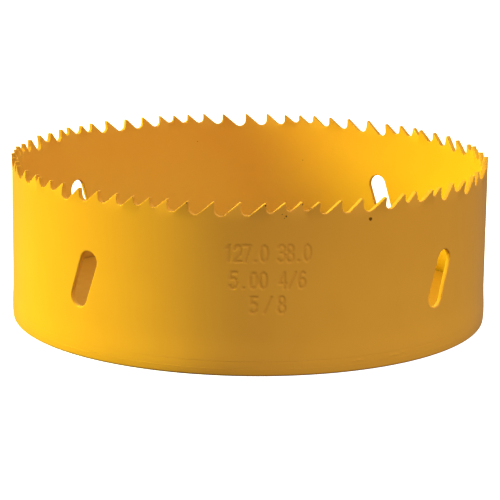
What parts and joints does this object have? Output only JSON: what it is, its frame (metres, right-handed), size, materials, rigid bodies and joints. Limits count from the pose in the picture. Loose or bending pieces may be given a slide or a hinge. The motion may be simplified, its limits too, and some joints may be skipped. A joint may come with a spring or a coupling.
{
  "type": "hole saw",
  "caption": "Cup-shaped saw for large round holes: toothed steel ring with slanted ejection slots on a welded end plate with a threaded arbor hole",
  "frame": {"origin": "centre of the underside of the end plate", "axes": "+Z along the axis of rotation, from the end plate towards the teeth; the slots lie on the -Y, +X, +Y and -X sides"},
  "size_m": [0.1266, 0.1268, 0.0431],
  "materials": {
    "enamel": "gloss"
  },
  "bodies": {
    "root": {"toothed_wall": "enamel", "end_plate": "enamel", "weld_bead": "enamel"}
  },
  "joints": []
}
